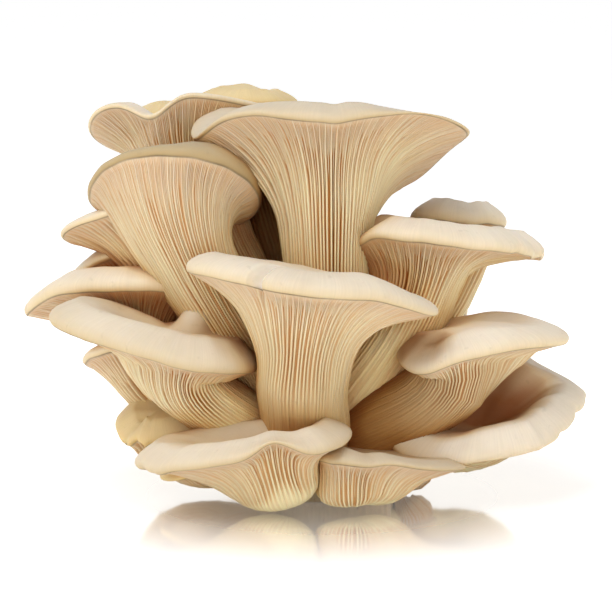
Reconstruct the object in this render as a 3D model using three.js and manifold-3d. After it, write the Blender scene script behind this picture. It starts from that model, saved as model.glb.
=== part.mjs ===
// Oyster mushroom cluster: fruiting bodies, each a fan-shaped cap on its own stem, grown from one cut
// butt. Millimetres, +Z up, origin at the middle of the butt's flat cut face, widest along X.
import * as THREE from 'three';
import Module from 'manifold-3d';

const wasm = await Module();
wasm.setup();

const growthGap = 0.35;      // space kept between neighbours that grow against each other
const cutTolerance = 0.03;   // edges shorter than this are closed up where one body is cut by another
const pointsAround = 12;     // facets round a cap and its stem
const flareRows = 4;         // rings from the rim down the flare
const stemRows = 3;          // rings from the flare down to the foot
const topRows = 1;           // rings between the margin and the middle of the cap
const marginAngles = [15, 90];  // where the rounded margin has its rings, in degrees from level
const marginTuck = 35;       // how far the margin rolls in under itself, in degrees
const flareLeft = 0.1;       // share of the fan that is left where the stem rows begin
const stemLean = 0.35;       // how much the stems straighten up towards the foot

// The butt: a low dome with a flat cut face, from which every stem leaves.
const butt = { centre: [0, 8], radius: [25, 24], height: 20, rows: 4, around: 20, squareness: 0.5 };

// What a body takes when its row does not say otherwise.
const plainBody = { hold: 0.4, rounding: 0, lobes: [], bulge: [0.5, 1, 0] };

// The fruiting bodies, the foremost first, since each one is cut back where an earlier one stands.
// hub: middle of the rim's plane; up: the way the cap faces; foot: where the stem leaves the butt;
// reach and flare: rim radius, and how deep the gills run down, to the east, north, west and south;
// neck and root: stem radius under the cap and at the foot; lip and lipWide: height and width of the
// rounded margin; dish: height of the cap's middle over the rim's plane; hold: how long the stem keeps
// square to the cap; rounding: share of the stem that closes in a round end; lobes: waves of the rim as
// [heading, spread, outward, upward]; bulge: swelling of the stem as [place, spread, outward].
const bodies = {
  mushroom_top_centre: {
    hub: [3, 4, 123], up: [0, 0.06, 1], foot: [3, 8, 16],
    reach: [44, 26, 44, 26], flare: [8, 7, 14, 16], neck: 14, root: 13,
    lip: 4, lipWide: 7, dish: -8,
    lobes: [
      [48, 30, 4, -22], [188, 12, 1, -6], [222, 16, 0, 1.5],
      [318, 22, 1, 2.4], [272, 9, 0, -1], [0, 20, 0, -3],
    ],
  },
  mushroom_top_left: {
    hub: [-48, 4, 97], up: [0.05, 0.72, 1], foot: [-6, 0, 18],
    reach: [27.5, 22, 28, 28], flare: [12, 12, 9, 18], neck: 13, root: 11,
    lip: 4, lipWide: 7, dish: -7, hold: 0.25,
    lobes: [[180, 20, 0, -1]],
  },
  mushroom_front_centre: {
    hub: [-4, -30, 70.6], up: [0.18, 0.09, 1], foot: [-6, -14, 20],
    reach: [40, 21, 39, 24], flare: [8, 8, 7, 8], neck: 13.5, root: 14.5,
    lip: 5, lipWide: 9, dish: 5,
    lobes: [[318, 26, 0, 2.2]],
  },
  mushroom_upper_right: {
    hub: [34, 3, 83], up: [0.12, 0.1, 1], foot: [2, 2, 18],
    reach: [38, 24, 24, 24], flare: [3, 9, 8, 9], neck: 13, root: 13,
    lip: 5, lipWide: 8, dish: 2,
    lobes: [[192, 22, 0, -5], [35, 22, 0, -3]],
  },
  mushroom_lower_right: {
    hub: [43, -14, 50], up: [-0.2, -0.04, 1], foot: [10, -4, 16],
    reach: [36, 22, 18, 18], flare: [1.8, 4, 2, 2.6], neck: 12.5, root: 12,
    lip: 5, lipWide: 8, dish: 8, hold: 0.2,
    lobes: [[0, 30, 0, -4], [225, 30, 0, -3]],
  },
  mushroom_base_right: {
    hub: [53, -4, 31.3], up: [0.06, -0.58, 1], foot: [14, -2, 12],
    reach: [29, 27, 33, 27], flare: [8, 8, 8, 8], neck: 10, root: 10,
    lip: 4.5, lipWide: 8, dish: -11,
    lobes: [[220, 36, 3, -8], [5, 16, 4, 0], [40, 22, -2, 0]],
  },
  mushroom_front_left: {
    hub: [-16, -30, 21], up: [-0.15, -0.08, 1], foot: [-11, -25, 2],
    reach: [25, 15, 43, 21], flare: [4, 6, 7, 5], neck: 10, root: 9,
    lip: 5, lipWide: 8, dish: 1, hold: 0.3, rounding: 0.35,
    lobes: [[275, 24, -1, 7], [225, 30, 0, 2]], bulge: [0.6, 0.4, 3],
  },
  mushroom_front_right: {
    hub: [9, -26, 16.5], up: [0.08, 0.08, 1], foot: [9, -25, 2],
    reach: [36, 16, 12, 16], flare: [9, 5, 4, 5], neck: 9, root: 9,
    lip: 2, lipWide: 6, dish: -1, rounding: 0.4,
    lobes: [[310, 20, 0, 1]], bulge: [0.6, 0.4, 2],
  },
  mushroom_left_front: {
    hub: [-44, -18, 50.5], up: [0.23, -0.08, 1], foot: [-12, -6, 14],
    reach: [23, 18, 44, 20], flare: [5, 8, 4.5, 6], neck: 11, root: 11,
    lip: 6, lipWide: 8, dish: 3, hold: 0.2,
    lobes: [[270, 40, 0, -1], [128, 26, 0, -4.5], [0, 30, 0, -1.5]],
  },
  mushroom_left_back: {
    hub: [-60, 12, 62], up: [0, 0.3, 1], foot: [-10, 8, 20],
    reach: [30, 24, 36, 24], flare: [8, 9, 4, 6], neck: 10, root: 11,
    lip: 6, lipWide: 8, dish: 2,
    lobes: [[186, 16, 2, -5]],
  },
  mushroom_left_upper: {
    hub: [-50, 14, 88], up: [-0.15, 0.45, 1], foot: [-6, 10, 24],
    reach: [20, 20, 36, 20], flare: [9, 9, 8, 9], neck: 12, root: 11,
    lip: 3, lipWide: 6, dish: -1,
  },
  mushroom_left_far: {
    hub: [-62, 28, 74], up: [-0.35, 0.3, 1], foot: [-6, 14, 24],
    reach: [22, 20, 22, 20], flare: [9, 9, 9, 9], neck: 11, root: 11,
    lip: 4, lipWide: 8, dish: -1,
  },
  mushroom_rear_top_left: {
    hub: [-44, 32, 117], up: [0.03, 0.6, 1], foot: [-4, 15, 20.6],
    reach: [34, 24, 34, 26], flare: [12, 10, 9, 14], neck: 12, root: 12,
    lip: 2.6, lipWide: 6, dish: -6, hold: 0.25,
    lobes: [[243, 17, -1, -7], [206, 18, 1, 0]],
  },
  mushroom_rear_top: {
    hub: [-26, 48, 125], up: [0, 0.05, 1], foot: [0, 18, 20],
    reach: [17, 18, 18, 16], flare: [10, 10, 10, 10], neck: 11, root: 11,
    lip: 4, lipWide: 8, dish: 8,
  },
  mushroom_right_rear: {
    hub: [47, 30, 86], up: [0.05, 0.3, 1], foot: [8, 14, 20],
    reach: [15, 15, 16, 14], flare: [7, 7, 7, 7], neck: 9, root: 10,
    lip: 5.5, lipWide: 8, dish: 2.5,
    lobes: [[280, 50, 0, -2]],
  },
  mushroom_left_lower: {
    hub: [-58, 12, 43], up: [-0.1, 0.4, 1], foot: [-10, 8, 14],
    reach: [22, 20, 21, 17], flare: [6, 6, 6, 6], neck: 9, root: 11,
    lip: 4, lipWide: 8, dish: 2,
  },
  mushroom_base_left: {
    hub: [-52, -3, 24], up: [-0.1, -0.3, 1], foot: [-12, 0, 10],
    reach: [19, 16, 15, 14], flare: [5, 5, 5, 5], neck: 8, root: 9,
    lip: 4, lipWide: 8, dish: 6,
    lobes: [[215, 16, 0, -3], [90, 30, 0, 1.5]],
  },
  button_base_left: {
    hub: [-36, -14.5, 15], up: [-0.45, -0.15, 1], foot: [-12, 0, 9],
    reach: [14, 9, 17, 12], flare: [3.5, 3.5, 3.5, 3.5], neck: 6.5, root: 7.5,
    lip: 2.5, lipWide: 8, dish: 0, hold: 0.15,
  },
  button_base_right: {
    hub: [28, 2, 8.6], up: [0.1, 0, 1], foot: [15, 3.4, 9.7],
    reach: [11, 12, 10, 12], flare: [3, 3, 3, 3], neck: 6, root: 6,
    lip: 2.5, lipWide: 8, dish: 1, hold: 0.2,
  },
  mushroom_rear_right: {
    hub: [26, 46, 57], up: [0.2, 0.4, 1], foot: [10, 16, 18],
    reach: [24, 24, 24, 20], flare: [8, 8, 8, 8], neck: 11, root: 12,
    lip: 5, lipWide: 8, dish: 1,
    lobes: [[60, 40, 2, -3]],
  },
  mushroom_rear_centre: {
    hub: [6, 46, 109], up: [0.05, 0.2, 1], foot: [2, 18, 18],
    reach: [25, 24, 28, 19], flare: [11, 11, 11, 11], neck: 12, root: 12,
    lip: 4, lipWide: 8, dish: -5,
    lobes: [[120, 30, 2, -4]],
  },
  mushroom_rear_left: {
    hub: [-36, 48, 55], up: [-0.2, 0.4, 1], foot: [-6, 18, 16],
    reach: [26, 26, 26, 22], flare: [8, 8, 8, 8], neck: 11, root: 12,
    lip: 5, lipWide: 8, dish: 1,
    lobes: [[130, 35, 2, -3]],
  },
  mushroom_rear_low: {
    hub: [20, 48, 31], up: [0.2, 0.45, 1], foot: [6, 20, 9],
    reach: [26, 22, 24, 20], flare: [7, 7, 7, 7], neck: 10, root: 11,
    lip: 4, lipWide: 8, dish: 0,
    lobes: [[90, 35, 0, 3]],
  },
  mushroom_rear_far: {
    hub: [-54, 47, 122], up: [-0.05, 0.05, 1], foot: [-6, 20, 22],
    reach: [10, 11, 11, 10], flare: [5, 5, 5, 5], neck: 7, root: 9,
    lip: 2.5, lipWide: 8, dish: 5,
  },
  mushroom_rear_middle: {
    hub: [-8, 54, 82], up: [-0.05, 0.45, 1], foot: [0, 20, 18],
    reach: [26, 22, 25, 20], flare: [9, 9, 9, 9], neck: 11, root: 12,
    lip: 4, lipWide: 8, dish: -4,
    lobes: [[60, 30, 1, -4]],
  },
  mushroom_rear_base: {
    hub: [-24, 50, 28], up: [-0.25, 0.55, 1], foot: [-6, 22, 8],
    reach: [19, 20, 20, 18], flare: [6, 6, 6, 6], neck: 9, root: 10,
    lip: 4, lipWide: 8, dish: 1,
  },
};

const fleshColours = {
  pale: new THREE.Color(0xe6d6ba),
  tan: new THREE.Color(0xcfae78),
};
const tanBodies = ['mushroom_rear_top', 'mushroom_rear_far', 'mushroom_base_left', 'button_base_left'];

function wrappedAngle(angle) {
  return THREE.MathUtils.euclideanModulo(angle + Math.PI, 2 * Math.PI) - Math.PI;
}

// The rim: four quarter ellipses joined at the compass points, with bell-shaped waves added.
function rimAt(body, heading) {
  const [east, north, west, south] = body.reach;
  const across = Math.cos(heading) / (Math.cos(heading) >= 0 ? east : west);
  const along = Math.sin(heading) / (Math.sin(heading) >= 0 ? north : south);
  const rim = { radius: 1 / Math.hypot(across, along), lift: 0 };
  for (const [at, spread, outward, upward] of body.lobes) {
    const turn = wrappedAngle(heading - THREE.MathUtils.degToRad(at));
    const bell = Math.exp(-((turn / THREE.MathUtils.degToRad(spread)) ** 2));
    rim.radius += outward * bell;
    rim.lift += upward * bell;
  }
  return rim;
}

// The flare depth at a heading, blended from the values of the two nearest compass points.
function flareAt(body, heading) {
  const [east, north, west, south] = body.flare;
  const across = Math.cos(heading) ** 2 * (Math.cos(heading) >= 0 ? east : west);
  return across + Math.sin(heading) ** 2 * (Math.sin(heading) >= 0 ? north : south);
}

// Two directions square to an axis, the first as near to +X as it can be.
function crossDirections(axis) {
  const east = new THREE.Vector3(1, 0, 0);
  east.addScaledVector(axis, -east.dot(axis)).normalize();
  return { east, north: new THREE.Vector3().crossVectors(axis, east) };
}

// The stem: straight down from the cap as far as drop, then a curve to the foot.
function stemOf(body, drop) {
  const up = new THREE.Vector3(...body.up).normalize();
  const hub = new THREE.Vector3(...body.hub);
  const foot = new THREE.Vector3(...body.foot);
  const top = hub.clone().addScaledVector(up, -drop);
  const span = top.distanceTo(foot);
  const lean = top.clone().sub(foot).normalize().add(new THREE.Vector3(0, 0, stemLean)).normalize();
  const kneeTop = top.clone().addScaledVector(up, -span * body.hold);
  const kneeFoot = foot.clone().addScaledVector(lean, span * 0.3);
  const curve = new THREE.CubicBezierCurve3(top, kneeTop, kneeFoot, foot);
  return { up, hub, drop, curve, length: drop + curve.getLength() };
}

// A place on the stem's axis, depth below the hub, and the directions across it there.
function stemAt(stem, depth) {
  if (depth <= stem.drop) {
    const middle = stem.hub.clone().addScaledVector(stem.up, -depth);
    return { middle, ...crossDirections(stem.up) };
  }
  const share = Math.min(1, (depth - stem.drop) / (stem.length - stem.drop));
  const axis = stem.curve.getTangentAt(share).negate();
  return { middle: stem.curve.getPointAt(share), ...crossDirections(axis) };
}

// Stem radius at a share of its length from the hub, with the swelling and the round end.
function stemRadius(body, share) {
  const [place, spread, outward] = body.bulge;
  const ease = THREE.MathUtils.smoothstep(share, 0, 1);
  const radius = body.neck + (body.root - body.neck) * ease;
  const swollen = radius + outward * Math.exp(-(((share - place) / spread) ** 2));
  if (body.rounding === 0) return swollen;
  const end = Math.max(0, share - (1 - body.rounding)) / body.rounding;
  return swollen * Math.sqrt(1 - 0.93 * Math.min(1, end) ** 2);
}

// One ring of points, made by a rule that takes the heading.
function ring(pointAt) {
  const headings = Array.from({ length: pointsAround }, (_, i) => (2 * Math.PI * i) / pointsAround);
  return headings.map(pointAt);
}

// Rings over the cap from its middle outwards, then round the margin.
function capRings(body, stem) {
  const across = crossDirections(stem.up);
  const tuck = THREE.MathUtils.degToRad(marginTuck);
  const place = (heading, radius, height) => stem.hub.clone()
    .addScaledVector(across.east, radius * Math.cos(heading))
    .addScaledVector(across.north, radius * Math.sin(heading))
    .addScaledVector(stem.up, height);
  const margin = (heading, angle) => {
    const rim = rimAt(body, heading);
    const width = Math.min(body.lipWide, rim.radius * 0.45);
    const radius = rim.radius + width * (Math.cos(angle) - Math.cos(tuck));
    return { radius, height: rim.lift + body.lip * (Math.sin(angle) + Math.sin(tuck)) };
  };
  const rings = [];
  for (let row = 1; row <= topRows; row += 1) {
    const share = row / (topRows + 1);
    rings.push(ring((heading) => {
      const edge = margin(heading, Math.PI / 2);
      const ease = THREE.MathUtils.smoothstep(share, 0, 1);
      return place(heading, edge.radius * share, body.dish + (edge.height - body.dish) * ease);
    }));
  }
  for (const degrees of [...marginAngles].reverse()) {
    rings.push(ring((heading) => {
      const edge = margin(heading, THREE.MathUtils.degToRad(degrees));
      return place(heading, edge.radius, edge.height);
    }));
  }
  return { crown: place(0, 0, body.dish), rings };
}

// Rings from the rim down: the fan shrinks exponentially on to the stem, which goes on to the foot.
function stemRings(body, stem) {
  const level = crossDirections(stem.up);
  const under = (heading, left, row) => {
    const rim = rimAt(body, heading);
    const flare = flareAt(body, heading);
    const flareDepth = -rim.lift - flare * Math.log(left);
    const depth = flareDepth + (stem.length - flareDepth) * row;
    const remaining = Math.exp(-(depth + rim.lift) / flare);
    const radius = stemRadius(body, Math.max(0, depth) / stem.length);
    const at = stemAt(stem, depth);
    const fan = (rim.radius - radius) * remaining;
    return at.middle.clone()
      .addScaledVector(at.east, radius * Math.cos(heading))
      .addScaledVector(at.north, radius * Math.sin(heading))
      .addScaledVector(level.east, fan * Math.cos(heading))
      .addScaledVector(level.north, fan * Math.sin(heading));
  };
  const rings = [];
  for (let row = 0; row <= flareRows; row += 1) {
    const left = 1 - (1 - flareLeft) * (row / flareRows);
    rings.push(ring((heading) => under(heading, left, 0)));
  }
  for (let row = 1; row <= stemRows; row += 1) {
    rings.push(ring((heading) => under(heading, flareLeft, row / stemRows)));
  }
  return rings;
}

// A closed indexed skin over rings that run from the crown down to the foot.
function skinOver(crown, rings, foot) {
  const around = rings[0].length;
  const points = [crown, ...rings.flat(), foot];
  const at = (row, i) => 1 + row * around + (i % around);
  const last = points.length - 1;
  const faces = [];
  for (let i = 0; i < around; i += 1) {
    faces.push(0, at(0, i), at(0, i + 1));
    faces.push(last, at(rings.length - 1, i + 1), at(rings.length - 1, i));
    for (let row = 0; row < rings.length - 1; row += 1) {
      faces.push(at(row, i), at(row + 1, i), at(row + 1, i + 1));
      faces.push(at(row, i), at(row + 1, i + 1), at(row, i + 1));
    }
  }
  const skin = new THREE.BufferGeometry().setFromPoints(points);
  skin.setIndex(faces);
  return skin;
}

function bodySkin(body) {
  const drop = 1 + Math.max(0, ...ring((heading) => -rimAt(body, heading).lift));
  const stem = stemOf(body, drop);
  const cap = capRings(body, stem);
  const foot = new THREE.Vector3(...body.foot);
  return skinOver(cap.crown, [...cap.rings, ...stemRings(body, stem)], foot);
}

// The butt's skin: super-elliptic rows from the top of the dome down to the flat face at zero.
function buttSkin() {
  const [middleX, middleY] = butt.centre;
  const rows = [];
  for (let row = 1; row <= butt.rows; row += 1) {
    const share = row / butt.rows;
    const spread = Math.sin((share * Math.PI) / 2) ** butt.squareness;
    const height = butt.height * Math.cos((share * Math.PI) / 2) ** butt.squareness;
    rows.push(Array.from({ length: butt.around }, (_, i) => {
      const heading = (2 * Math.PI * i) / butt.around;
      const x = middleX + butt.radius[0] * spread * Math.cos(heading);
      const y = middleY + butt.radius[1] * spread * Math.sin(heading);
      return new THREE.Vector3(x, y, row === butt.rows ? 0 : height);
    }));
  }
  const top = new THREE.Vector3(middleX, middleY, butt.height);
  return skinOver(top, rows, new THREE.Vector3(middleX, middleY, 0));
}

function solidOf(skin) {
  const vertProperties = new Float32Array(skin.attributes.position.array);
  const triVerts = new Uint32Array(skin.index.array);
  return new wasm.Manifold(new wasm.Mesh({ numProp: 3, vertProperties, triVerts }));
}

// The same skin moved outwards by the growth gap, to cut neighbours with.
function grown(skin) {
  const thick = skin.clone();
  thick.computeVertexNormals();
  const { position, normal } = thick.attributes;
  const point = new THREE.Vector3();
  const outward = new THREE.Vector3();
  for (let i = 0; i < position.count; i += 1) {
    point.fromBufferAttribute(position, i);
    outward.fromBufferAttribute(normal, i);
    point.addScaledVector(outward, growthGap);
    position.setXYZ(i, point.x, point.y, point.z);
  }
  return solidOf(thick);
}

function largestPiece(solid) {
  return solid.decompose().reduce((best, piece) => (piece.volume() > best.volume() ? piece : best));
}

function skinOf(solid) {
  const mesh = solid.getMesh();
  const skin = new THREE.BufferGeometry();
  skin.setAttribute('position', new THREE.BufferAttribute(mesh.vertProperties, 3));
  skin.setIndex(new THREE.BufferAttribute(mesh.triVerts, 1));
  skin.computeVertexNormals();
  return skin;
}

function flesh(colour) {
  return new THREE.MeshStandardMaterial({ color: colour, roughness: 0.6, metalness: 0 });
}

const cluster = new THREE.Group();

function place(name, skin, colour) {
  const mesh = new THREE.Mesh(skin, flesh(colour));
  mesh.name = name;
  cluster.add(mesh);
}

place('cut_butt', skinOf(solidOf(buttSkin())), fleshColours.pale);
let taken = grown(buttSkin());
for (const [name, row] of Object.entries(bodies)) {
  const body = { ...plainBody, ...row };
  const skin = bodySkin(body);
  const free = largestPiece(solidOf(skin).subtract(taken));
  const colour = tanBodies.includes(name) ? fleshColours.tan : fleshColours.pale;
  place(name, skinOf(free.simplify(cutTolerance)), colour);
  taken = taken.add(grown(skin));
}

export default cluster;
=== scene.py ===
import math
import bpy
import numpy as np
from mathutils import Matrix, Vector


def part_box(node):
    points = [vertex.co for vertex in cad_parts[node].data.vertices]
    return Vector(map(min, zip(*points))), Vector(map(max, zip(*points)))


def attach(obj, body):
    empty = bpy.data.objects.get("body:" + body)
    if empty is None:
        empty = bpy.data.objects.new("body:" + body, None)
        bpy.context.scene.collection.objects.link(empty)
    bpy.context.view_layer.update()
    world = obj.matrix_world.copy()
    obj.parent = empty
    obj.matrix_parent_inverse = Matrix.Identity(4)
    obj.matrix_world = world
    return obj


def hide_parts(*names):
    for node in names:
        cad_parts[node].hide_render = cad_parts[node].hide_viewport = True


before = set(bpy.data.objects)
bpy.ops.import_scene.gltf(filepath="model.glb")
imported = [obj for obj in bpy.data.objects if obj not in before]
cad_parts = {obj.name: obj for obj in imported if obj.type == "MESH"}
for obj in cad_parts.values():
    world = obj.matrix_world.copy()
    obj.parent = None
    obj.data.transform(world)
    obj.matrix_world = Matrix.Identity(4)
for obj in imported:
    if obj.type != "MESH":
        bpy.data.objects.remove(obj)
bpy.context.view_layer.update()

# Oyster mushroom cluster: every mushroom is grown from a few numbers, gills and all.
# Lengths in the dictionaries are millimetres from the spot where the cluster grew.
millimetre = 0.001
buttLow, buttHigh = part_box("cut_butt")
growthSpot = np.array([
    (buttLow.x + buttHigh.x) / 2,
    (buttLow.y + buttHigh.y) / 2 - 8 * millimetre,
    buttLow.z,
])

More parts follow.
